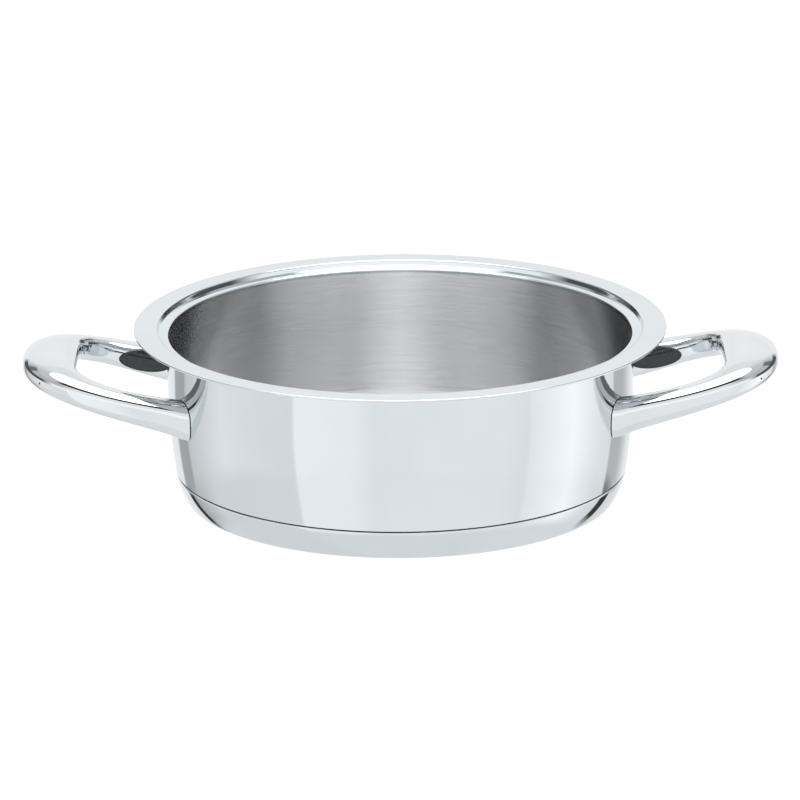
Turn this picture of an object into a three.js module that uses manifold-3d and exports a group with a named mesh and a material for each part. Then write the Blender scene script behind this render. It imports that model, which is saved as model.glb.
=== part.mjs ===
// Low stainless steel cooking pot with a capsule base and two hollow loop handles.
// Millimetres, +Z up, origin on the table under the middle of the pot, handles along X.
import * as THREE from "three";
import { mergeVertices } from "three/addons/utils/BufferGeometryUtils.js";
import Module from "manifold-3d";

const wasm = await Module();
wasm.setup();

// Pot body
const height = 90.3;
const mouthRadius = 122.2;
const mouthRound = 3.6;
const sheet = 0.9;
const seatWidth = 1.4;
const seatDepth = 5.1;
const stepLean = 0.4;
const rimWidth = 12.8;
const rimRound = 0.8;
const rimLip = 1.5;
const stepRound = 2.8;
const straightWall = 30;
const wallCurve = 290;
const floorCorner = 18;
const turns = 64;

// Capsule base
const seamHeight = 15.4;
const seamGap = 0.5;
const capCurve = 40;
const capCorner = 3.4;
const capSheet = 1;
const coreThickness = 5.5;
const coreRise = 4;
const fit = 0.3;

// Loop handle seen from above, measured from the pot wall and from the handle's middle
const gripReach = 74.2;
const gripHalf = 53.6;
const gripPower = 2.6;
const tipWidth = 28.2;
const armWidth = 15.2;
const gapPower = 4.9;
const rootInset = 7.5;
const rootLength = 16;

// Loop handle seen from the side: depth of its middle line under the rim, and half its thickness
const armDrop = 35.2;
const bendDrop = 27.4;
const tipDrop = 18.2;
const armHalf = 8.5;
const bendHalf = 7;
const tipHalf = 7.1;
const topPower = 2.5;
const sidePower = 2.2;
const innerPower = 4;
const tipPower = 2.6;
const edgeDrop = 0.4;
const skirtDrop = 6.6;
const leanPower = 1.5;
const gripSheet = 1.2;
const wallGap = 0.6;
const loopSteps = 12;
const ventRadius = 0.6;
const ventAngle = 0.42;

// Feet in the arm ends, and the oval inlays
const footThickness = 3.2;
const inlayLength = 27.5;
const inlayHeight = 11;
const inlayThickness = 3;
const inlayEdge = 0.5;
const inlayOffset = 13;
const inlayRise = 1.3;
const inlaySink = 0.4;
const inlayTilt = 0.141;

const wallRadius = mouthRadius - mouthRound + sheet;
const seatHeight = height - seatDepth;
const stepRadius = mouthRadius + seatWidth;
const rimRadius = stepRadius + rimWidth;
const curveTop = height - straightWall;
const gripRoot = wallRadius - rootInset;
const coreBottom = capSheet + fit;
const coreTop = coreBottom + coreThickness;
const floorBottom = coreTop + fit;
const floorTop = floorBottom + sheet;

const steel = new THREE.MeshStandardMaterial({ color: 0xd9dde0, metalness: 1, roughness: 0.15 });
const capSteel = new THREE.MeshStandardMaterial({ color: 0xcfd4d8, metalness: 1, roughness: 0.18 });
const aluminium = new THREE.MeshStandardMaterial({ color: 0xc4c6c8, metalness: 1, roughness: 0.45 });
const footSteel = new THREE.MeshStandardMaterial({ color: 0x8f9396, metalness: 1, roughness: 0.4 });
const black = new THREE.MeshStandardMaterial({ color: 0x101214, metalness: 0, roughness: 0.2 });

function arc(centreX, centreY, radius, from, to, steps) {
  const points = [];
  for (let i = 0; i <= steps; i += 1) {
    const angle = from + ((to - from) * i) / steps;
    points.push(new THREE.Vector2(centreX + radius * Math.cos(angle), centreY + radius * Math.sin(angle)));
  }
  return points;
}

function revolve(points) {
  return new THREE.LatheGeometry(points, turns).rotateX(Math.PI / 2);
}

function toSolid(geometry) {
  const bare = new THREE.BufferGeometry();
  bare.setAttribute("position", geometry.getAttribute("position"));
  bare.setIndex(geometry.getIndex());
  const welded = mergeVertices(bare, 1e-4);
  const index = welded.getIndex().array;
  const corners = [];
  for (let i = 0; i < index.length; i += 3) {
    const [a, b, c] = [index[i], index[i + 1], index[i + 2]];
    if (a !== b && b !== c && c !== a) {
      corners.push(a, b, c);
    }
  }
  const vertProperties = new Float32Array(welded.getAttribute("position").array);
  const triVerts = new Uint32Array(corners);
  return new wasm.Manifold(new wasm.Mesh({ numProp: 3, vertProperties, triVerts }));
}

function toGeometry(solid) {
  const mesh = solid.getMesh();
  const geometry = new THREE.BufferGeometry();
  geometry.setAttribute("position", new THREE.BufferAttribute(mesh.vertProperties, 3));
  geometry.setIndex(new THREE.BufferAttribute(mesh.triVerts, 1));
  geometry.computeVertexNormals();
  return geometry;
}

function addMesh(parent, name, geometry, material) {
  const mesh = new THREE.Mesh(geometry, material);
  mesh.name = name;
  parent.add(mesh);
  return mesh;
}

// The wall is upright under the rim and then curves in to the base
function wallAt(z) {
  const below = Math.max(0, curveTop - z);
  return wallRadius - (below * below) / (2 * wallCurve);
}

function wallLine(bottom, offset) {
  const points = [];
  for (let i = 0; i <= 4; i += 1) {
    const z = bottom + ((curveTop - bottom) * i) / 4;
    points.push(new THREE.Vector2(wallAt(z) + offset, z));
  }
  return points;
}

// Pot body: one drawn sheet with floor, wall, rounded mouth, narrow lid seat, step and flat rim
const cornerTop = floorTop + floorCorner;
const wallSlope = Math.atan((curveTop - cornerTop) / wallCurve);
const cornerMeet = cornerTop - floorCorner * Math.sin(wallSlope);
const floorRadius = wallAt(cornerMeet) - sheet - floorCorner * Math.cos(wallSlope);
const seamTop = seamHeight + seamGap;
const underRadius = floorCorner + sheet;
const underMeet = -Math.asin((cornerTop - seamTop) / underRadius);
const rightAngle = Math.PI / 2;
const stepAngle = Math.atan(stepLean / seatDepth);
const roundRadius = stepRadius + stepLean + stepRound;

const bodyLine = [
  new THREE.Vector2(0, floorBottom),
  ...arc(floorRadius, cornerTop, underRadius, -rightAngle, underMeet, 3),
  ...wallLine(seamTop, 0),
  ...arc(mouthRadius, seatHeight - mouthRound, mouthRound - sheet, Math.PI, rightAngle, 2),
  new THREE.Vector2(stepRadius + sheet, seatHeight - sheet),
  ...arc(roundRadius, height - stepRound, stepRound - sheet, Math.PI, rightAngle, 1),
  new THREE.Vector2(rimRadius - sheet, height - sheet),
  new THREE.Vector2(rimRadius - sheet, height - rimLip),
  new THREE.Vector2(rimRadius, height - rimLip),
  ...arc(rimRadius - rimRound, height - rimRound, rimRound, 0, rightAngle, 3),
  ...arc(roundRadius, height - stepRound, stepRound, rightAngle, Math.PI - stepAngle, 3),
  new THREE.Vector2(stepRadius, seatHeight),
  ...arc(mouthRadius, seatHeight - mouthRound, mouthRound, rightAngle, Math.PI, 4),
  ...wallLine(cornerMeet, -sheet).reverse().slice(0, 4),
  ...arc(floorRadius, cornerTop, floorCorner, -wallSlope, -rightAngle, 4),
  new THREE.Vector2(0, floorTop),
];

// Capsule: its side carries the wall on below the seam and rounds into the flat underside
const capRadius = wallAt(seamHeight);
const sideStart = Math.atan((curveTop - seamHeight) / wallCurve);
const sideSine = (seamHeight + capCurve * Math.sin(sideStart) - capCorner) / (capCurve - capCorner);
const sideEnd = Math.asin(sideSine);
const sideX = capRadius - capCurve * Math.cos(sideStart);
const sideZ = seamHeight + capCurve * Math.sin(sideStart);
const baseRadius = sideX + (capCurve - capCorner) * Math.cos(sideEnd);

function capLine(inset, start) {
  return [
    new THREE.Vector2(0, inset),
    ...arc(baseRadius, capCorner, capCorner - inset, -rightAngle, -sideEnd, 3),
    ...arc(sideX, sideZ, capCurve - inset, -sideEnd, -start, 4).slice(1),
  ];
}

const rimSine = (sideZ - seamHeight) / (capCurve - capSheet);
const capProfile = [...capLine(0, sideStart), ...capLine(capSheet, Math.asin(rimSine)).reverse()];

// Core: fills the capsule under the floor and a little way up round its edge
const coreRim = coreTop + coreRise;
const coreInset = capSheet + fit;
const coreSide = Math.asin((sideZ - coreRim) / (capCurve - coreInset));
const coreUnder = underRadius + fit;
const coreMeet = -Math.asin((cornerTop - coreRim) / coreUnder);
const coreProfile = [
  ...capLine(coreInset, coreSide),
  ...arc(floorRadius, cornerTop, coreUnder, coreMeet, -rightAngle, 2),
  new THREE.Vector2(0, coreTop),
];

// Handle: rounded sections along the loop, between an outer and an inner outline seen from above
const gripLength = gripReach + rootInset;
const gapLength = gripLength - tipWidth;
const gapHalf = gripHalf - armWidth;

function outline(angle, length, half, power) {
  const x = Math.abs(Math.cos(angle)) ** (2 / power);
  const y = Math.abs(Math.sin(angle)) ** (2 / power);
  return new THREE.Vector2(gripRoot + length * x, Math.sign(angle) * half * y);
}

// Parabola through the values at the wall, at the bend and at the tip
function blend(along, atWall, atBend, atTip) {
  const bend = 4 * along * (1 - along);
  return atWall * (1 - along) * (1 - 2 * along) + atBend * bend + atTip * along * (2 * along - 1);
}

function station(angle, back) {
  const outer = outline(angle, gripLength, gripHalf, gripPower);
  const inner = outline(angle, gapLength, gapHalf, gapPower);
  const centre = outer.clone().add(inner).multiplyScalar(0.5);
  centre.x -= back;
  const across = outer.clone().sub(inner);
  const along = (2 * (centre.x - gripRoot)) / (gripLength + gapLength);
  return {
    centre,
    along,
    half: across.length() / 2,
    across: across.normalize(),
    z: height - blend(along, armDrop, bendDrop, tipDrop),
    halfZ: blend(along, armHalf, bendHalf, tipHalf),
  };
}

function signedPower(value, power) {
  return Math.sign(value) * Math.abs(value) ** (2 / power);
}

// The top falls away a little towards the outside, and the outside hangs lower near the wall
function section(angle, back, inset, count) {
  const place = station(angle, back);
  const tipShare = Math.min(1, Math.max(0, place.along));
  const inside = innerPower + (tipPower - innerPower) * tipShare;
  const points = [];
  for (let i = 0; i < count; i += 1) {
    const turn = (2 * Math.PI * (i + 0.5)) / count;
    const outside = Math.sin(turn) > 0 ? topPower : sidePower;
    const power = Math.cos(turn) > 0 ? outside : inside;
    const wide = signedPower(Math.cos(turn), power);
    const high = signedPower(Math.sin(turn), power);
    const lean = high > 0 ? -edgeDrop * (1 - tipShare / 2) : skirtDrop * (1 - tipShare);
    const out = wide * (place.half - inset);
    points.push(
      new THREE.Vector3(
        place.centre.x + out * place.across.x,
        place.centre.y + out * place.across.y,
        place.z + high * (place.halfZ - inset + lean * Math.max(0, wide) ** leanPower),
      ),
    );
  }
  return points;
}

function loft(rings) {
  const count = rings[0].length;
  const points = rings.flat();
  const index = [];
  for (let r = 0; r + 1 < rings.length; r += 1) {
    for (let i = 0; i < count; i += 1) {
      const a = r * count + i;
      const b = r * count + ((i + 1) % count);
      index.push(a, b, a + count, b, b + count, a + count);
    }
  }
  const last = (rings.length - 1) * count;
  for (let i = 1; i + 1 < count; i += 1) {
    index.push(0, i + 1, i, last, last + i, last + i + 1);
  }
  const geometry = new THREE.BufferGeometry();
  geometry.setFromPoints(points);
  geometry.setIndex(index);
  return geometry;
}

// Steps from the root of an arm to the tip, closer together where the loop starts to bend
function loopAngle(step) {
  return rightAngle * (1 - (step / loopSteps) ** 1.4);
}

function loopSections(inset, count, overrun) {
  const rings = [section(rightAngle, rootLength + overrun, inset, count)];
  for (let i = -loopSteps; i <= loopSteps; i += 1) {
    rings.push(section(-Math.sign(i) * loopAngle(loopSteps - Math.abs(i)), 0, inset, count));
  }
  rings.push(section(-rightAngle, rootLength + overrun, inset, count));
  return rings;
}

// The space round the pot wall that the handle keeps clear of
function wallSpace(gap) {
  const line = wallLine(seamTop, gap);
  return toSolid(
    revolve([
      new THREE.Vector2(0, seamTop),
      ...line,
      new THREE.Vector2(wallRadius + gap, seatHeight),
      new THREE.Vector2(0, seatHeight),
    ]),
  );
}

function oval(grow) {
  const shape = new THREE.Shape();
  shape.absellipse(0, 0, inlayLength / 2 + grow, inlayHeight / 2 + grow, 0, 2 * Math.PI);
  return shape;
}

// Puts a flat shape on the inner face of an arm, front towards the finger gap
const inlayX = wallRadius + inlayOffset;
const inlayAngle = Math.acos(((inlayX - gripRoot) / gapLength) ** (gapPower / 2));

function onArm(geometry, side) {
  const place = station(side * inlayAngle, 0);
  const face = outline(side * inlayAngle, gapLength, gapHalf, gapPower);
  geometry.rotateX(rightAngle);
  geometry.rotateY(-inlayTilt);
  if (side < 0) {
    geometry.rotateX(Math.PI);
    geometry.rotateY(-2 * inlayTilt);
  }
  geometry.translate(face.x, face.y + side * inlaySink, place.z + inlayRise);
  return geometry;
}

function inlayBody(side) {
  const bevel = { bevelThickness: inlayEdge, bevelSize: inlayEdge, bevelOffset: -inlayEdge, bevelSegments: 2 };
  const depth = inlayThickness - 2 * inlayEdge;
  const geometry = new THREE.ExtrudeGeometry(oval(0), { depth, curveSegments: 14, ...bevel });
  geometry.translate(0, 0, inlayEdge - inlayThickness);
  return onArm(geometry, side);
}

function inlayWindow(side) {
  const depth = 3 * inlayThickness;
  const geometry = new THREE.ExtrudeGeometry(oval(fit), { depth, curveSegments: 14, bevelEnabled: false });
  geometry.translate(0, 0, -inlayThickness - 2 * gripSheet);
  return onArm(geometry, side);
}

function vent(side) {
  const place = station(side * ventAngle, 0);
  const geometry = new THREE.CylinderGeometry(ventRadius, ventRadius, 6 * gripSheet, 8);
  geometry.rotateZ(-rightAngle);
  geometry.rotateZ(Math.atan2(place.across.y, place.across.x));
  const x = place.centre.x + place.half * place.across.x;
  const y = place.centre.y + place.half * place.across.y;
  geometry.translate(x, y, place.z);
  return geometry;
}

function handleShell() {
  let solid = toSolid(loft(loopSections(0, 16, 0)));
  solid = solid.subtract(toSolid(loft(loopSections(gripSheet, 12, rootLength / 4))));
  solid = solid.subtract(wallSpace(wallGap));
  for (const side of [1, -1]) {
    solid = solid.subtract(toSolid(inlayWindow(side)));
    solid = solid.subtract(toSolid(vent(side)));
  }
  return toGeometry(solid);
}

// Foot: a plate that follows the wall it is welded to, with the hollow arm end fitted over it
function foot(side) {
  const rings = [section(side * rightAngle, rootLength, gripSheet + fit, 12)];
  for (let i = 0; i <= 1; i += 1) {
    rings.push(section(side * loopAngle(i), 0, gripSheet + fit, 12));
  }
  const body = toSolid(loft(side > 0 ? rings : rings.reverse()));
  return toGeometry(body.intersect(wallSpace(fit + footThickness)).subtract(wallSpace(fit)));
}

const group = new THREE.Group();
group.name = "cooking_pot";
addMesh(group, "pot_body", revolve(bodyLine), steel);
addMesh(group, "base_cap", revolve(capProfile), capSteel);
addMesh(group, "base_core", revolve(coreProfile), aluminium);

const shell = handleShell();
const feet = { 1: foot(1), "-1": foot(-1) };
const inlays = { 1: inlayBody(1), "-1": inlayBody(-1) };
for (const [name, turn, rear] of [["right", 0, 1], ["left", Math.PI, -1]]) {
  const handle = new THREE.Group();
  handle.name = `${name}_side`;
  handle.rotation.z = turn;
  addMesh(handle, `${name}_handle`, shell, steel);
  for (const [arm, side] of [["rear", rear], ["front", -rear]]) {
    addMesh(handle, `${name}_${arm}_foot`, feet[side], footSteel);
    addMesh(handle, `${name}_${arm}_inlay`, inlays[side], black);
  }
  group.add(handle);
}

export default group;
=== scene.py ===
from collections import namedtuple
import math
import bmesh
import bpy
from mathutils import Matrix, Vector


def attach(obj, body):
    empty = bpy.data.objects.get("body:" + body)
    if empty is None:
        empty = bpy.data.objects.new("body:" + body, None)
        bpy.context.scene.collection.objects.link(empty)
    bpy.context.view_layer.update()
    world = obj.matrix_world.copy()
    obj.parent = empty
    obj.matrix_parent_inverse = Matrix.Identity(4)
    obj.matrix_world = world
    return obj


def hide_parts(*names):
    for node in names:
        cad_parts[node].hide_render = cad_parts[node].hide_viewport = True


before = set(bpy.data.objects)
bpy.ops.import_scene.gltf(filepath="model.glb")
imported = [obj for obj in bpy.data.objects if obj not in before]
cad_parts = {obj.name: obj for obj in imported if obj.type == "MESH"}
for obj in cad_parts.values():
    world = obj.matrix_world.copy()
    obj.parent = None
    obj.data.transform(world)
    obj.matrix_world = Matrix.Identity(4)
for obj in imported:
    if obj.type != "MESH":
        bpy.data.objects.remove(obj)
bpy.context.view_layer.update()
print("frame loaded:", len(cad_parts), "solids")

mm = 0.001  # sizes of the pot are in mm, the scene is in metres
quarter = math.pi / 2
mergeDistance = 1e-6
placeDigits = 7  # decimals by which a point is known again


def clearSelection():
    if bpy.context.mode != "OBJECT":
        bpy.ops.object.mode_set(mode="OBJECT")
    bpy.ops.object.select_all(action="DESELECT")


def pick(piece):
    clearSelection()
    piece.select_set(True)
    bpy.context.view_layer.objects.active = piece


def startPiece(name):
    piece = bpy.context.active_object
    piece.name = name
    piece.data.name = name
    return piece


def applyModifier(piece, kind, **settings):
    pick(piece)
    modifier = piece.modifiers.new(kind.lower(), kind)
    for key, value in settings.items():
        setattr(modifier, key, value)
    bpy.ops.object.modifier_apply(modifier=modifier.name)


def smooth(piece, degrees):
    pick(piece)
    bpy.ops.object.shade_smooth_by_angle(angle=math.radians(degrees))


def copyPiece(piece, name, turn):
    pick(piece)
    bpy.ops.object.duplicate()
    twin = startPiece(name)
    twin.rotation_euler = (0, 0, turn)
    bpy.ops.object.transform_apply(location=True, rotation=True, scale=True)
    return twin


def selectOpenEdges():
    bpy.ops.mesh.select_all(action="DESELECT")
    bpy.ops.mesh.select_non_manifold()


def turnOutwards():  # the last step of a shape in edit mode
    bpy.ops.mesh.select_all(action="SELECT")
    bpy.ops.mesh.normals_make_consistent(inside=False)
    bpy.ops.object.mode_set(mode="OBJECT")


# points in mm, as (distance from the axis, height)
def arc(x, z, radius, start, end, steps):
    turns = [start + (end - start) * i / steps for i in range(steps + 1)]
    return [(x + radius * math.cos(a), z + radius * math.sin(a)) for a in turns]


def between(start, end, steps):  # inner points of a straight stretch
    return [tuple(a + (b - a) * i / steps for a, b in zip(start, end)) for i in range(1, steps)]


# one point is drawn along the profile and spun once round the pot's axis
def turnProfile(name, profile, steps):
    clearSelection()
    bpy.ops.mesh.primitive_plane_add(size=10 * mm)
    piece = startPiece(name)
    bpy.ops.object.mode_set(mode="EDIT")
    bpy.ops.mesh.select_all(action="SELECT")
    bpy.ops.mesh.merge(type="CENTER")
    lastX, lastZ = 0, 0
    for i, (x, z) in enumerate(profile):
        move = ((x - lastX) * mm, 0, (z - lastZ) * mm)
        if i == 0:
            bpy.ops.transform.translate(value=move)
        else:
            bpy.ops.mesh.extrude_vertices_move(TRANSFORM_OT_translate={"value": move})
        lastX, lastZ = x, z
    bpy.ops.mesh.select_all(action="SELECT")
    bpy.ops.mesh.spin(
        steps=steps, angle=2 * math.pi, center=(0, 0, 0), axis=(0, 0, 1), use_auto_merge=True,
    )
    bpy.ops.mesh.select_all(action="SELECT")
    bpy.ops.mesh.remove_doubles(threshold=mergeDistance)
    turnOutwards()
    return piece


def placeKey(point):
    return tuple(round(c, placeDigits) for c in Vector(point))


# a circle becomes the first ring and is extruded from ring to ring, and edit mode stays on
def skinRings(name, rings):
    clearSelection()
    bpy.ops.mesh.primitive_circle_add(vertices=len(rings[0]), radius=1)
    piece = startPiece(name)
    bpy.ops.object.mode_set(mode="EDIT")
    bpy.ops.mesh.select_all(action="SELECT")
    shape = bmesh.from_edit_mesh(piece.data)
    shape.verts.ensure_lookup_table()
    for vert, point in zip(shape.verts, rings[0]):
        vert.co = point
    for last, ring in zip(rings, rings[1:]):
        bpy.ops.mesh.extrude_edges_move()
        shape = bmesh.from_edit_mesh(piece.data)
        index = {placeKey(point): i for i, point in enumerate(last)}
        for vert in [v for v in shape.verts if v.select]:
            vert.co = ring[index[placeKey(vert.co)]]
    bmesh.update_edit_mesh(piece.data)
    return piece


# finishes: two tones, the range of roughness, and how far a brushed highlight is drawn out
tones = {
    "potPolish": {"dark": (0.675, 0.725, 0.75), "light": (0.705, 0.75, 0.775), "gloss": (0.012, 0.03)},
    "basePolish": {"dark": (0.66, 0.71, 0.74), "light": (0.69, 0.735, 0.765), "gloss": (0.014, 0.035)},
    "handlePolish": {"dark": (0.71, 0.745, 0.765), "light": (0.74, 0.77, 0.79), "gloss": (0.01, 0.026)},
    # rim's underside: a darker tone, painted shade for the shaded floor it mirrors, and a rougher gloss for
    # its lesser polish
    "rimUnder": {"dark": (0.60, 0.62, 0.63), "light": (0.64, 0.66, 0.67), "gloss": (0.06, 0.1)},
    "insideBrush": {
        "dark": (0.66, 0.67, 0.675), "light": (0.83, 0.835, 0.84), "gloss": (0.16, 0.23), "stretch": 1.0,
    },
    "floorBrush": {
        "dark": (0.44, 0.45, 0.455), "light": (0.56, 0.57, 0.575), "gloss": (0.26, 0.32), "stretch": 0.7,
    },
    # near black: painted shade for the gap at the arm ends, the vents and the handle's hollow
    "hollowShade": {"dark": (0.10, 0.10, 0.105), "light": (0.17, 0.17, 0.175), "gloss": (0.45, 0.65)},
    "coreDull": {"dark": (0.60, 0.61, 0.62), "light": (0.70, 0.71, 0.72), "gloss": (0.4, 0.55)},
    "inlayGloss": {"dark": (0.016, 0.018, 0.021), "light": (0.024, 0.027, 0.031), "gloss": (0.10, 0.20)},
}
# noise patterns; one with a drift runs in lines round the pot and changes slowly along them
patterns = {
    "haze": {"scale": 28, "detail": 3, "roughness": 0.5},
    "marks": {"scale": 2600, "detail": 4, "roughness": 0.6, "drift": 0.012},
    "lines": {"scale": 2200, "detail": 6, "roughness": 0.7, "drift": 0.003},
    "scratches": {"scale": 900, "detail": 2, "roughness": 0.4, "drift": 0.03},
    "grain": {"scale": 700, "detail": 5, "roughness": 0.5},
    "ripple": {"scale": 160, "detail": 2, "roughness": 0.5},
    "specks": {"scale": 4200, "detail": 3, "roughness": 0.7},
}
relief = {  # strength of the bump and its depth in metres
    "polished": (0.012, 0.0002), "brushed": (0.05, 0.0002), "dull": (0.25, 0.0002), "moulded": (0.05, 0.001),
}
noiseRange = (0.3, 0.7)  # where most of a noise's values lie


def addNode(tree, kind, **inputs):
    node = tree.nodes.new(kind)
    for key, value in inputs.items():
        node.inputs[key].default_value = value
    return node


# each value is a socket to link or a plain number
def numberMath(tree, operation, *values):
    node = tree.nodes.new("ShaderNodeMath")
    node.operation = operation
    for slot, value in zip(node.inputs, values):
        if isinstance(value, bpy.types.NodeSocket):
            tree.links.new(value, slot)
        else:
            slot.default_value = value
    return node.outputs["Value"]


def vectorMath(tree, operation, *vectors):
    node = tree.nodes.new("ShaderNodeVectorMath")
    node.operation = operation
    for slot, vector in zip(node.inputs, vectors):
        tree.links.new(vector, slot)
    return node


def mixShaders(tree, share, first, second):
    mix = tree.nodes.new("ShaderNodeMixShader")
    for slot, value in zip(mix.inputs, (share, first, second)):
        tree.links.new(value, slot)
    return mix.outputs["Shader"]


def newFinish(name):
    material = bpy.data.materials.new(name)
    material.use_nodes = True
    tree = material.node_tree
    return material, tree, tree.nodes["Principled BSDF"]


def spread(tree, value, low, high, fromRange=noiseRange):
    ranged = tree.nodes.new("ShaderNodeMapRange")
    ends = {"From Min": fromRange[0], "From Max": fromRange[1], "To Min": low, "To Max": high}
    for key, number in ends.items():
        ranged.inputs[key].default_value = number
    tree.links.new(value, ranged.inputs["Value"])
    return ranged.outputs["Result"]


# radius, height and a slow turn round the axis, so that lines run round the pot
def roundCoordinates(tree, drift):
    parts = tree.nodes.new("ShaderNodeSeparateXYZ")
    tree.links.new(tree.nodes.new("ShaderNodeTexCoord").outputs["Object"], parts.inputs["Vector"])
    flat = tree.nodes.new("ShaderNodeCombineXYZ")
    for axis in ("X", "Y"):
        tree.links.new(parts.outputs[axis], flat.inputs[axis])
    radius = vectorMath(tree, "LENGTH", flat.outputs["Vector"])
    across = vectorMath(tree, "NORMALIZE", flat.outputs["Vector"])
    slow = vectorMath(tree, "SCALE", across.outputs["Vector"])
    slow.inputs["Scale"].default_value = drift
    rise = numberMath(tree, "ADD", radius.outputs["Value"], parts.outputs["Z"])
    lift = tree.nodes.new("ShaderNodeCombineXYZ")
    tree.links.new(rise, lift.inputs["Z"])
    total = vectorMath(tree, "ADD", slow.outputs["Vector"], lift.outputs["Vector"])
    return total.outputs["Vector"]


def patternOn(tree, name):
    pattern = patterns[name]
    noise = addNode(
        tree, "ShaderNodeTexNoise",
        Scale=pattern["scale"], Detail=pattern["detail"], Roughness=pattern["roughness"],
    )
    if "drift" in pattern:
        place = roundCoordinates(tree, pattern["drift"])
    else:
        place = tree.nodes.new("ShaderNodeTexCoord").outputs["Object"]
    tree.links.new(place, noise.inputs["Vector"])
    return noise.outputs["Fac"]


def colourBy(tree, shader, value, look):
    ramp = tree.nodes.new("ShaderNodeValToRGB")
    for stop, position, tone in zip(ramp.color_ramp.elements, noiseRange, (look["dark"], look["light"])):
        stop.position = position
        stop.color = (*tone, 1)
    tree.links.new(value, ramp.inputs["Fac"])
    tree.links.new(ramp.outputs["Color"], shader.inputs["Base Color"])


def roughenBy(tree, shader, value, look):
    tree.links.new(spread(tree, value, *look["gloss"]), shader.inputs["Roughness"])


def bumpBy(tree, shader, value, kind):
    strength, depth = relief[kind]
    bump = addNode(tree, "ShaderNodeBump", Strength=strength, Distance=depth)
    tree.links.new(value, bump.inputs["Height"])
    tree.links.new(bump.outputs["Normal"], shader.inputs["Normal"])


polish = {"markShare": 0.45, "hazeShare": 0.55}  # of the change in roughness


# mirror polish: faint cloudy haze from wiping and hair-fine wheel marks
def polishedSteel(name):
    material, tree, shader = newFinish(name)
    haze = patternOn(tree, "haze")
    marks = patternOn(tree, "marks")
    hazePart = numberMath(tree, "MULTIPLY", haze, polish["hazeShare"])
    both = numberMath(tree, "MULTIPLY_ADD", marks, polish["markShare"], hazePart)
    colourBy(tree, shader, haze, tones[name])
    roughenBy(tree, shader, both, tones[name])
    bumpBy(tree, shader, marks, "polished")
    shader.inputs["Metallic"].default_value = 1
    return material


brush = {"worn": (0.62, 0.72), "turn": 0.25}  # noise that makes a scratch, and light spread across the lines


# inside: fine lines round the pot, with a few longer scratches
def brushedSteel(name):
    material, tree, shader = newFinish(name)
    lines = patternOn(tree, "lines")
    worn = spread(tree, patternOn(tree, "scratches"), 0, 1, brush["worn"])
    colourBy(tree, shader, lines, tones[name])
    roughenBy(tree, shader, lines, tones[name])
    bumpBy(tree, shader, numberMath(tree, "ADD", lines, worn), "brushed")
    along = tree.nodes.new("ShaderNodeTangent")
    along.direction_type = "RADIAL"
    along.axis = "Z"
    tree.links.new(along.outputs["Tangent"], shader.inputs["Tangent"])
    shader.inputs["Metallic"].default_value = 1
    shader.inputs["Anisotropic"].default_value = tones[name]["stretch"]
    shader.inputs["Anisotropic Rotation"].default_value = brush["turn"]
    return material


# dull metal: grey for the core, near black for the hidden feet and the inside of the handles, painted shade
# in the gap at the arm ends, the vents and the hollow
def dullMetal(name):
    material, tree, shader = newFinish(name)
    grain = patternOn(tree, "grain")
    colourBy(tree, shader, grain, tones[name])
    roughenBy(tree, shader, grain, tones[name])
    bumpBy(tree, shader, grain, "dull")
    shader.inputs["Metallic"].default_value = 1
    return material


moulding = {"shine": 0.55}


# gloss black moulding: slight ripple, dust-fine specks in the gloss
def glossBlack(name):
    material, tree, shader = newFinish(name)
    specks = patternOn(tree, "specks")
    colourBy(tree, shader, specks, tones[name])
    roughenBy(tree, shader, specks, tones[name])
    bumpBy(tree, shader, patternOn(tree, "ripple"), "moulded")
    shader.inputs["Specular IOR Level"].default_value = moulding["shine"]
    return material


potPolish = polishedSteel("potPolish")
basePolish = polishedSteel("basePolish")
handlePolish = polishedSteel("handlePolish")
rimUnder = polishedSteel("rimUnder")
insideBrush = brushedSteel("insideBrush")
floorBrush = brushedSteel("floorBrush")
hollowShade = dullMetal("hollowShade")
coreDull = dullMetal("coreDull")
inlayGloss = glossBlack("inlayGloss")
print("finishes made")

# pot body
pot = {
    "height": 90.3, "mouth": 119.55, "mouthRound": 0.95, "sheet": 0.9, "straight": 30, "curve": 290,
    "seatWidth": 4.05, "seatDepth": 2.65, "seatSlope": 0.17, "stepLean": 0.49, "stepRound": 0.95,
    "rimWidth": 12.8, "rimRound": 0.4, "rimLip": 1.0, "lipBevel": 0.12, "underFillet": 0.3,
    "corner": 18, "floorTop": 8.0, "floorRings": (0, 0.5, 0.97), "seamTop": 16.2, "polishBand": 1.1,
    "turns": 256, "smooth": 40,
}
potSteps = {
    "corner": 14, "wall": 12, "straight": 24, "mouth": 20, "seat": 3, "step": 3, "crest": 20, "rim": 14,
    "rimEdge": 8, "rimUnder": 6, "crestUnder": 8, "fillet": 4, "mouthUnder": 8,
    "straightOutside": 6, "wallOutside": 16, "cornerOutside": 8,
}
potFinishes = (potPolish, insideBrush, rimUnder, floorBrush)
polishSlot, brushSlot, shadedUnderSlot, floorSlot = range(len(potFinishes))
# how far a face leans, and where it lies, to count as inside floor, rim from below or inside wall
region = {"floorLean": 0.9, "floorBelow": 50, "underLean": -0.7, "underAbove": 70, "inwards": -1e-7}
wallRadius = pot["mouth"] - pot["mouthRound"] + pot["sheet"]
curveTop = pot["height"] - pot["straight"]
stepRadius = pot["mouth"] + pot["seatWidth"]
seatHeight = pot["height"] - pot["seatDepth"]
# middle of the rounding at the mouth, below a lid seat that falls a little inwards
seatFall = (pot["seatWidth"] + pot["mouthRound"] * math.sin(pot["seatSlope"])) * math.tan(pot["seatSlope"])
mouthHeight = seatHeight - seatFall - pot["mouthRound"] * math.cos(pot["seatSlope"])


def wallAt(z):
    return wallRadius - max(0, curveTop - z) ** 2 / (2 * pot["curve"])


def wallLine(bottom, offset, steps):
    heights = [bottom + (curveTop - bottom) * i / steps for i in range(steps + 1)]
    return [(wallAt(z) + offset, z) for z in heights]


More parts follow.
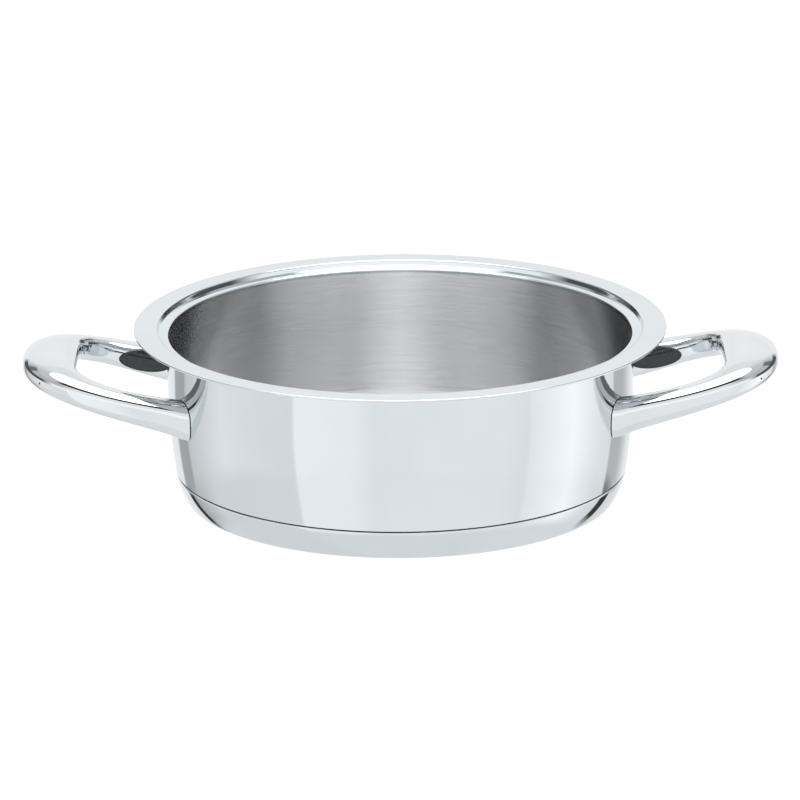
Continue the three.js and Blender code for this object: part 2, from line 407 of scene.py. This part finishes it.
def potProfile():
    sheet, height = pot["sheet"], pot["height"]
    step, seat = stepRadius, seatHeight
    cornerTop = pot["floorTop"] + pot["corner"]
    slope = math.atan((curveTop - cornerTop) / pot["curve"])
    meet = cornerTop - pot["corner"] * math.sin(slope)
    floorEnd = wallAt(meet) - sheet - pot["corner"] * math.cos(slope)
    fall = quarter + pot["seatSlope"]
    inside = [(floorEnd * share, pot["floorTop"]) for share in pot["floorRings"]]
    inside += arc(floorEnd, cornerTop, pot["corner"], -quarter, -slope, potSteps["corner"])
    inside += wallLine(meet, -sheet, potSteps["wall"])[1:]
    inside += between((wallRadius - sheet, curveTop), (wallRadius - sheet, mouthHeight), potSteps["straight"])
    inside += arc(pot["mouth"], mouthHeight, pot["mouthRound"], math.pi, fall, potSteps["mouth"])

    # lid seat, step that opens out a little towards the rim, and the rim
    lean = math.atan(pot["stepLean"] / pot["seatDepth"])
    topRound, bend, bevel = pot["stepRound"], pot["rimRound"], pot["lipBevel"]
    crestX = step + pot["stepLean"] + topRound
    crest = arc(crestX, height - topRound, topRound, math.pi - lean, quarter, potSteps["crest"])
    rim, lip = step + pot["rimWidth"], height - pot["rimLip"]
    top = between(inside[-1], (step, seat), potSteps["seat"]) + [(step, seat)]
    top += between(top[-1], crest[0], potSteps["step"]) + crest
    top += between((crestX, height), (rim - bend, height), potSteps["rim"])
    top += arc(rim - bend, height - bend, bend, quarter, 0, potSteps["rimEdge"])
    top += [(rim, lip + bevel), (rim - bevel, lip), (rim - sheet, lip), (rim - sheet, height - sheet)]

    # back along the underside, one sheet away
    fillet = pot["underFillet"]
    under = between((rim - sheet, height - sheet), (crestX, height - sheet), potSteps["rimUnder"])
    under += arc(crestX, height - topRound, topRound - sheet, quarter, math.pi, potSteps["crestUnder"])
    under += arc(step + sheet - fillet, seat - sheet + fillet, fillet, 0, -quarter, potSteps["fillet"])
    under += arc(pot["mouth"], mouthHeight, pot["mouthRound"] - sheet, fall, math.pi, potSteps["mouthUnder"])

    cornerOut = pot["corner"] + sheet
    tuck = -math.asin((cornerTop - pot["seamTop"]) / cornerOut)
    outside = between((wallRadius, mouthHeight), (wallRadius, curveTop), potSteps["straightOutside"])
    outside += wallLine(pot["seamTop"], 0, potSteps["wallOutside"])[::-1]
    outside += arc(floorEnd, cornerTop, cornerOut, tuck, -quarter, potSteps["cornerOutside"])
    outside += [(0, pot["floorTop"] - sheet)]
    return inside + top + under + outside


def potSlot(face):
    centre, normal = face.center, face.normal
    # faces under the rim get the darker finish, painted shade
    if normal.z < region["underLean"] and centre.z > region["underAbove"] * mm:
        return shadedUnderSlot
    if normal.z > region["floorLean"] and centre.z < region["floorBelow"] * mm:
        return floorSlot
    inwards = normal.x * centre.x + normal.y * centre.y < region["inwards"]
    belowBand = centre.z < (mouthHeight - pot["polishBand"]) * mm
    return brushSlot if inwards and belowBand else polishSlot


potBody = turnProfile("potBody", potProfile(), pot["turns"])
for finish in potFinishes:
    potBody.data.materials.append(finish)
for face in potBody.data.polygons:
    face.material_index = potSlot(face)
smooth(potBody, pot["smooth"])
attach(potBody, "root")
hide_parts("pot_body")
print("pot body turned:", len(potBody.data.polygons), "faces")

# capsule base
cap = {
    "seam": 15.4, "curve": 40, "corner": 3.4, "sheet": 1.0, "edge": 0.25, "edgeEase": 0.25,
    "flatRings": (0, 0.4, 0.8, 0.985), "smooth": 40,
}
capSteps = {"corner": 12, "side": 14, "sideInside": 6, "cornerInside": 4}


def capProfile():
    curve, corner, seam, edge = cap["curve"], cap["corner"], cap["seam"], cap["edge"]
    start = math.atan((curveTop - seam) / pot["curve"])
    sideX = wallAt(seam) - curve * math.cos(start)
    sideZ = seam + curve * math.sin(start)
    end = math.asin((sideZ - corner) / (curve - corner))
    flat = sideX + (curve - corner) * math.cos(end)
    inner = curve - cap["sheet"]
    innerTop = math.asin((sideZ - seam) / inner)
    ease = edge * cap["edgeEase"]
    line = [(flat * share, 0) for share in cap["flatRings"]]
    line += arc(flat, corner, corner, -quarter, -end, capSteps["corner"])
    line += arc(sideX, sideZ, curve, -end, -start - edge / curve, capSteps["side"])[1:]
    topX = line[-1][0]
    line += [(topX - ease, seam - ease), (topX - edge, seam)]
    line += arc(sideX, sideZ, inner, -innerTop, -end, capSteps["sideInside"])
    line += arc(flat, corner, corner - cap["sheet"], -end, -quarter, capSteps["cornerInside"])[1:]
    return line + [(0, cap["sheet"])]


baseCap = turnProfile("baseCap", capProfile(), pot["turns"])
baseCap.data.materials.append(basePolish)
smooth(baseCap, cap["smooth"])
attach(baseCap, "root")
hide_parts("base_cap")
print("capsule base turned:", len(baseCap.data.polygons), "faces")

# loop handle, made once on the right and copied to the left
grip = {
    "reach": 74.2, "half": 54.6, "power": 2.6, "tipWidth": 28.2, "armWidth": 16.2, "gapPower": 4.9,
    "rootInset": 7.5, "backRun": 114, "drops": (35.2, 27.4, 18.2), "thick": (8.5, 7.0, 7.1),
    "topPower": 2.5, "sidePower": 2.2, "innerPower": (4, 2.6), "edgeDrop": 0.4, "edgeFade": 0.5,
    "skirt": 6.6, "leanPower": 1.5, "sheet": 1.2, "wallGap": 0.3,
    "vent": 0.6, "ventAngle": 0.58, "ventDepth": 7, "ventPoints": 20,
    "around": 64, "rootSteps": 8, "armSteps": 34, "rootEnd": 0.12, "spacing": 1.4,
    "search": (-0.14, 0.2), "halvings": 30, "smooth": 35,
}
sides = {"Rear": 1, "Front": -1}
gripRoot = wallRadius - grip["rootInset"]
gripLength = grip["reach"] + grip["rootInset"]
gapLength = gripLength - grip["tipWidth"]
gapHalf = grip["half"] - grip["armWidth"]
station = namedtuple("station", "middle across along level thick")


def outline(angle, length, half, power):
    x = abs(math.cos(angle)) ** (2 / power)
    y = abs(math.sin(angle)) ** (2 / power)
    return Vector((gripRoot + length * x, math.copysign(half * y, angle)))


def curveThrough(along, values):  # values at the wall, at the bend and at the tip
    a, b, c = values
    return a * (1 - along) * (1 - 2 * along) + 4 * b * along * (1 - along) + c * along * (2 * along - 1)


# step runs from 0 at the arm's root to 1 at the tip, and below 0 back towards the pot
def gripStation(step, side):
    angle = side * quarter * (1 - max(0, step) ** grip["spacing"])
    outer = outline(angle, gripLength, grip["half"], grip["power"])
    inner = outline(angle, gapLength, gapHalf, grip["gapPower"])
    middle = (outer + inner) / 2
    middle.x += min(0, step) * grip["backRun"]
    along = 2 * (middle.x - gripRoot) / (gripLength + gapLength)
    level = pot["height"] - curveThrough(along, grip["drops"])
    return station(middle, (outer - inner) / 2, along, level, curveThrough(along, grip["thick"]))


def stepAt(angle):
    return (1 - angle / quarter) ** (1 / grip["spacing"])


def innerPower(along):  # rounder towards the tip
    atWall, atTip = grip["innerPower"]
    return atWall + (atTip - atWall) * min(1, max(0, along))


def gripPoint(step, side, around, inset):
    spot = gripStation(step, side)
    turn = 2 * math.pi * (around + 0.5) / grip["around"]
    outside = grip["topPower"] if math.sin(turn) > 0 else grip["sidePower"]
    power = outside if math.cos(turn) > 0 else innerPower(spot.along)
    wide = math.copysign(abs(math.cos(turn)) ** (2 / power), math.cos(turn))
    high = math.copysign(abs(math.sin(turn)) ** (2 / power), math.sin(turn))
    tipShare = min(1, max(0, spot.along))
    edgeDrop = grip["edgeDrop"] * (1 - tipShare * grip["edgeFade"])
    lean = -edgeDrop if high > 0 else grip["skirt"] * (1 - tipShare)
    out = spot.middle + wide * (1 - inset / spot.across.length) * spot.across
    rise = spot.thick - inset + lean * max(0, wide) ** grip["leanPower"]
    return Vector((out.x, out.y, spot.level + high * rise))


# where the arm's skin comes within a set distance of the pot wall
def wallStep(side, around, inset):
    low, high = grip["search"]
    for turn in range(grip["halvings"]):
        step = (low + high) / 2
        point = gripPoint(step, side, around, inset)
        if math.hypot(point.x, point.y) < wallAt(point.z) + grip["wallGap"]:
            low = step
        else:
            high = step
    return high


def gripRings(inset):  # from the rear arm's end round the tip to the front arm's end
    around = range(grip["around"])
    rings = []
    for side in sides.values():
        ends = [wallStep(side, i, inset) for i in around]
        half = []
        for k in range(grip["rootSteps"]):
            share = k / grip["rootSteps"]
            steps = [end + (grip["rootEnd"] - end) * share for end in ends]
            half.append([gripPoint(steps[i], side, i, inset) for i in around])
        for k in range(grip["armSteps"] + 1):
            step = grip["rootEnd"] + (1 - grip["rootEnd"]) * k / grip["armSteps"]
            half.append([gripPoint(step, side, i, inset) for i in around])
        rings += half if side > 0 else half[-2::-1]
    return [[point * mm for point in ring] for ring in rings]


# along the outside, in at the far end and back along the inside
outerRings = gripRings(0)
innerRings = gripRings(grip["sheet"])[::-1]
rightHandle = skinRings("rightHandle", outerRings + innerRings)
selectOpenEdges()
bpy.ops.mesh.bridge_edge_loops()  # the other arm's end
turnOutwards()
handleFinishes = (handlePolish, hollowShade)
shinySlot, shadeSlot = range(len(handleFinishes))
for finish in handleFinishes:
    rightHandle.data.materials.append(finish)
firstInner = grip["around"] * len(outerRings)
# faces of the hollow inside take the near-black finish, painted shade inside the handle
for face in rightHandle.data.polygons:  # the hollow inside is left dull
    face.material_index = shadeSlot if min(face.vertices) >= firstInner else shinySlot
print("handle skinned:", len(rightHandle.data.polygons), "faces")

# black oval inlays, shaped on the arm's inner face
inlay = {
    "length": 27.5, "height": 11, "back": 1.9, "offset": 13, "rise": 1.3, "tilt": 0.141, "proud": 0.16,
    "edge": 0.3, "edgeSteps": 5, "lip": 0.5, "step": 0.12, "gap": 0.1, "cut": 3, "points": 72,
    "slope": ((0.06, 0.3), (0.14, 1), (0.3, 1)),  # distance in from the lip, share of the step down
    "field": (0.9, 0.7, 0.5, 0.3, 0.12), "search": (-0.1, 0.7), "halvings": 24, "smooth": 50,
}


def inlayCentre(side):
    x = wallRadius + inlay["offset"]
    angle = math.acos(((x - gripRoot) / gapLength) ** (grip["gapPower"] / 2))
    return x, gripStation(stepAt(angle), side).level + inlay["rise"]


# depth of the arm's inner face under a point seen from the finger gap
def innerFace(x, z, side):
    low, high = inlay["search"]
    for turn in range(inlay["halvings"]):
        step = (low + high) / 2
        spot = gripStation(step, side)
        share = min(1, abs((z - spot.level) / spot.thick))
        power = innerPower(spot.along)
        point = spot.middle - spot.across * (1 - share ** power) ** (1 / power)
        low, high = (step, high) if point.x < x else (low, step)
    return point.y


# oval drawn in by a distance and scaled, lying a set height off the arm's face
def inlayRing(side, inwards, scale, height):
    centreX, centreZ = inlayCentre(side)
    a, b = inlay["length"] / 2, inlay["height"] / 2
    ring = []
    for k in range(inlay["points"]):
        turn = 2 * math.pi * k / inlay["points"]
        normal = Vector((b * math.cos(turn), a * math.sin(turn))).normalized()
        flat = (Vector((a * math.cos(turn), b * math.sin(turn))) - inwards * normal) * scale
        x = centreX + flat.x * math.cos(inlay["tilt"]) - flat.y * math.sin(inlay["tilt"])
        z = centreZ + flat.x * math.sin(inlay["tilt"]) + flat.y * math.cos(inlay["tilt"])
        ring.append(Vector((x, innerFace(x, z, side) - side * height, z)) * mm)
    return ring


def inlayRings(side):  # back edge, rounded edge, flat lip, and a field a little lower
    edge, proud, lip = inlay["edge"], inlay["proud"], inlay["edge"] + inlay["lip"]
    rings = [inlayRing(side, 0, 1, -inlay["back"])]
    for k in range(inlay["edgeSteps"] + 1):
        turn = quarter * k / inlay["edgeSteps"]
        rings.append(inlayRing(side, edge * (1 - math.cos(turn)), 1, proud - edge * (1 - math.sin(turn))))
    rings.append(inlayRing(side, lip, 1, proud))
    for inwards, share in inlay["slope"]:
        rings.append(inlayRing(side, lip + inwards, 1, proud - inlay["step"] * share))
    fieldEdge = lip + inlay["slope"][-1][0]
    return rings + [inlayRing(side, fieldEdge, scale, proud - inlay["step"]) for scale in inlay["field"]]


inlays = {}
for word, side in sides.items():
    plate = skinRings("right" + word + "Inlay", inlayRings(side))
    bpy.ops.mesh.edge_face_add()  # middle of the face, still selected
    bpy.ops.mesh.poke()
    selectOpenEdges()
    bpy.ops.mesh.edge_face_add()  # back
    turnOutwards()
    plate.data.materials.append(inlayGloss)
    smooth(plate, inlay["smooth"])
    inlays[word] = plate
print("inlays laid on the arms:", len(plate.data.polygons), "faces each")


# oval windows and small vents cut in the handle
def windowCutter(word, side):
    heights = (-inlay["cut"], inlay["cut"])
    window = skinRings("window" + word, [inlayRing(side, -inlay["gap"], 1, height) for height in heights])
    bpy.ops.mesh.edge_face_add()
    selectOpenEdges()
    bpy.ops.mesh.edge_face_add()
    turnOutwards()
    return window


def ventCutter(word, side):
    spot = gripStation(stepAt(grip["ventAngle"]), side)
    outer = spot.middle + spot.across
    clearSelection()
    bpy.ops.mesh.primitive_cylinder_add(
        vertices=grip["ventPoints"], radius=grip["vent"] * mm, depth=grip["ventDepth"] * mm,
        location=(outer.x * mm, outer.y * mm, spot.level * mm),
        rotation=(0, quarter, math.atan2(spot.across.y, spot.across.x)),
    )
    return startPiece("vent" + word)


for word, side in sides.items():
    for cutter in (windowCutter(word, side), ventCutter(word, side)):
        for finish in handleFinishes:
            cutter.data.materials.append(finish)
        # the walls of the cut windows and vents take the near-black finish, painted shade in the holes
        for face in cutter.data.polygons:
            face.material_index = shadeSlot
        applyModifier(rightHandle, "BOOLEAN", object=cutter, operation="DIFFERENCE", solver="EXACT")
        bpy.data.objects.remove(cutter)
smooth(rightHandle, grip["smooth"])

leftHandle = copyPiece(rightHandle, "leftHandle", math.pi)
for piece, node in ((rightHandle, "right_handle"), (leftHandle, "left_handle")):
    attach(piece, "root")
    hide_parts(node)
for word, other in (("Rear", "Front"), ("Front", "Rear")):  # half a turn puts the rear one in front
    twin = copyPiece(inlays[word], "left" + other + "Inlay", math.pi)
    for piece, node in ((inlays[word], "right_" + word.lower()), (twin, "left_" + other.lower())):
        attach(piece, "root")
        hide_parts(node + "_inlay")
print("handles finished:", len(rightHandle.data.polygons), "faces each")

# solids that stay as they are
for node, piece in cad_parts.items():
    # the feet in the gap at the arm ends take the near-black finish, painted shade; the core stays dull grey
    finish = coreDull if node == "base_core" else hollowShade if node.endswith("_foot") else None
    if finish:
        piece.data.materials.clear()
        piece.data.materials.append(finish)

# studio: pale floor, a round tent of light panels, and a soft box overhead with a dark gap in front of it
studio = {
    "floor": 6.0, "cuts": 3, "floorTone": 0.9, "floorRoughness": 0.9, "floorGlow": 1.09, "glowShare": 0.9,
    "strength": 5,
}
# light levels round the pot by compass angle, 0 towards the viewer and + to the right, from below upwards
tent = {
    "under": ((-180, 0.88), (-60, 0.88), (-40, 0.93), (0, 0.9), (97, 0.93), (180, 0.88)),
    "deep": (
        (-180, 0.93), (-149, 0.93), (-148, 0.05), (-142, 0.05), (-140, 0.5), (-112, 0.86), (-55, 0.91),
        (-54, 1.12), (-24, 1.1), (-12, 1.0), (52, 1.03), (66, 0.98), (67, 1.05), (95, 1.24), (118, 0.94),
        (130, 0.88), (131, 0.05), (141, 0.05), (142, 0.85), (180, 0.93),
    ),
    "low": (
        (-180, 0.96), (-150, 0.96), (-148, 0.47), (-135, 0.47), (-133, 0.72), (-100, 1.0), (-55, 0.92),
        (-54, 1.15), (-24, 1.12), (-12, 1.0), (52, 1.05), (66, 0.99), (67, 1.06), (95, 1.29), (118, 1.0),
        (130, 0.93), (131, 0.58), (143, 0.58), (158, 0.93), (180, 0.96),
    ),
    "horizon": (
        (-180, 1.0), (-158, 1.0), (-150, 0.1), (-88, 0.1), (-70, 1.1), (-25, 1.2),
        (25, 1.2), (70, 1.1), (88, 0.1), (150, 0.1), (158, 1.0), (180, 1.0),
    ),
    "side": (
        (-180, 1.05), (-158, 1.0), (-142, 0.6), (-136, 0.2), (-124, 0.2), (-118, 0.6), (-62, 0.6), (-42, 1.0),
        (42, 1.0), (62, 0.6), (118, 0.6), (124, 0.2), (136, 0.2), (142, 0.6), (158, 1.0), (180, 1.05),
    ),
    "gap": (
        (-180, 0.95), (-162, 0.95), (-135, 0.7), (-75, 0.7), (-62, 0.05),
        (62, 0.05), (75, 0.7), (135, 0.7), (162, 0.95), (180, 0.95),
    ),
    "box": (
        (-180, 4.9), (-150, 3.5), (-60, 3.2), (-25, 3.3), (0, 4.9),
        (25, 3.6), (60, 4.0), (120, 4.0), (150, 3.6), (180, 4.9),
    ),
}
# heights, as the sine of the angle above the floor, between which one ring gives way to the next
tentSteps = (
    ("deep", -0.66, -0.56), ("low", -0.42, -0.38), ("horizon", -0.02, 0.02), ("side", 0.26, 0.30),
    ("gap", 0.60, 0.64), ("box", 0.83, 0.86),
)


# white to the camera with the pot's soft shadow, while the steel mirrors the tent
def floorFinish():
    material, tree, shader = newFinish("paleFloor")
    tone = studio["floorTone"]
    shader.inputs["Base Color"].default_value = (tone, tone, tone, 1)
    shader.inputs["Roughness"].default_value = studio["floorRoughness"]
    shader.inputs["Specular IOR Level"].default_value = 0
    glow = addNode(tree, "ShaderNodeEmission", Color=(1, 1, 1, 1), Strength=studio["floorGlow"])
    path = tree.nodes.new("ShaderNodeLightPath")
    share = numberMath(tree, "MULTIPLY", path.outputs["Is Camera Ray"], studio["glowShare"])
    seen = mixShaders(tree, share, shader.outputs["BSDF"], glow.outputs["Emission"])
    clear = tree.nodes.new("ShaderNodeBsdfTransparent")
    whole = mixShaders(tree, path.outputs["Is Glossy Ray"], seen, clear.outputs["BSDF"])
    tree.links.new(whole, tree.nodes["Material Output"].inputs["Surface"])
    return material


clearSelection()
bpy.ops.mesh.primitive_plane_add(size=studio["floor"])
floor = startPiece("floor")
bpy.ops.object.mode_set(mode="EDIT")
bpy.ops.mesh.subdivide(number_cuts=studio["cuts"])
bpy.ops.object.mode_set(mode="OBJECT")
floor.data.materials.append(floorFinish())


def panelRing(tree, turn, levels):
    ramp = tree.nodes.new("ShaderNodeValToRGB")
    tree.links.new(turn, ramp.inputs["Fac"])
    stops = ramp.color_ramp.elements
    while len(stops) < len(levels):
        stops.new(0.5)
    for stop, (degrees, level) in zip(stops, levels):
        stop.position = degrees / 360 + 0.5
        tone = level / studio["strength"]  # made up again by the panels' strength
        stop.color = (tone, tone, tone, 1)
    return ramp.outputs["Color"]


def blendColours(tree, share, first, second):
    mix = tree.nodes.new("ShaderNodeMix")
    mix.data_type = "RGBA"
    tree.links.new(share, mix.inputs[0])
    tree.links.new(first, mix.inputs[6])  # sockets 6 and 7 are the two colours
    tree.links.new(second, mix.inputs[7])
    return mix.outputs[2]


def buildWorld():
    world = bpy.data.worlds.new("studioTent")
    bpy.context.scene.world = world
    world.use_nodes = True
    tree = world.node_tree
    parts = tree.nodes.new("ShaderNodeSeparateXYZ")
    tree.links.new(tree.nodes.new("ShaderNodeTexCoord").outputs["Generated"], parts.inputs["Vector"])
    front = numberMath(tree, "MULTIPLY", parts.outputs["Y"], -1)
    compass = numberMath(tree, "ARCTAN2", parts.outputs["X"], front)
    turn = spread(tree, compass, 0, 1, (-math.pi, math.pi))
    around = panelRing(tree, turn, tent["under"])
    for ring, start, end in tentSteps:
        share = spread(tree, parts.outputs["Z"], 0, 1, (start, end))
        around = blendColours(tree, share, around, panelRing(tree, turn, tent[ring]))
    panels = tree.nodes["Background"]
    panels.inputs["Strength"].default_value = studio["strength"]
    tree.links.new(around, panels.inputs["Color"])
    white = addNode(tree, "ShaderNodeBackground", Color=(1, 1, 1, 1), Strength=1)
    path = tree.nodes.new("ShaderNodeLightPath")
    seen = path.outputs["Is Camera Ray"]
    whole = mixShaders(tree, seen, panels.outputs["Background"], white.outputs["Background"])
    tree.links.new(whole, tree.nodes["World Output"].inputs["Surface"])


buildWorld()

# camera at the photograph's place
shot = {
    "aim": (-0.000324, 0, 0.0497), "rise": 0.2916, "roll": -0.00698, "distance": 3.0,
    "lens": 262.57, "sensor": 36, "far": 50,
}
camera = bpy.data.objects.new("camera", bpy.data.cameras.new("camera"))
bpy.context.scene.collection.objects.link(camera)
away = Vector((0, -math.cos(shot["rise"]), math.sin(shot["rise"]))) * shot["distance"]
tip = Matrix.Rotation(quarter - shot["rise"], 4, "X") @ Matrix.Rotation(shot["roll"], 4, "Z")
camera.matrix_world = Matrix.Translation(Vector(shot["aim"]) + away) @ tip
camera.data.lens = shot["lens"]
camera.data.sensor_width = shot["sensor"]
camera.data.clip_end = shot["far"]
bpy.context.scene.camera = camera
bpy.context.scene.view_settings.view_transform = "Standard"
print("studio and camera ready")
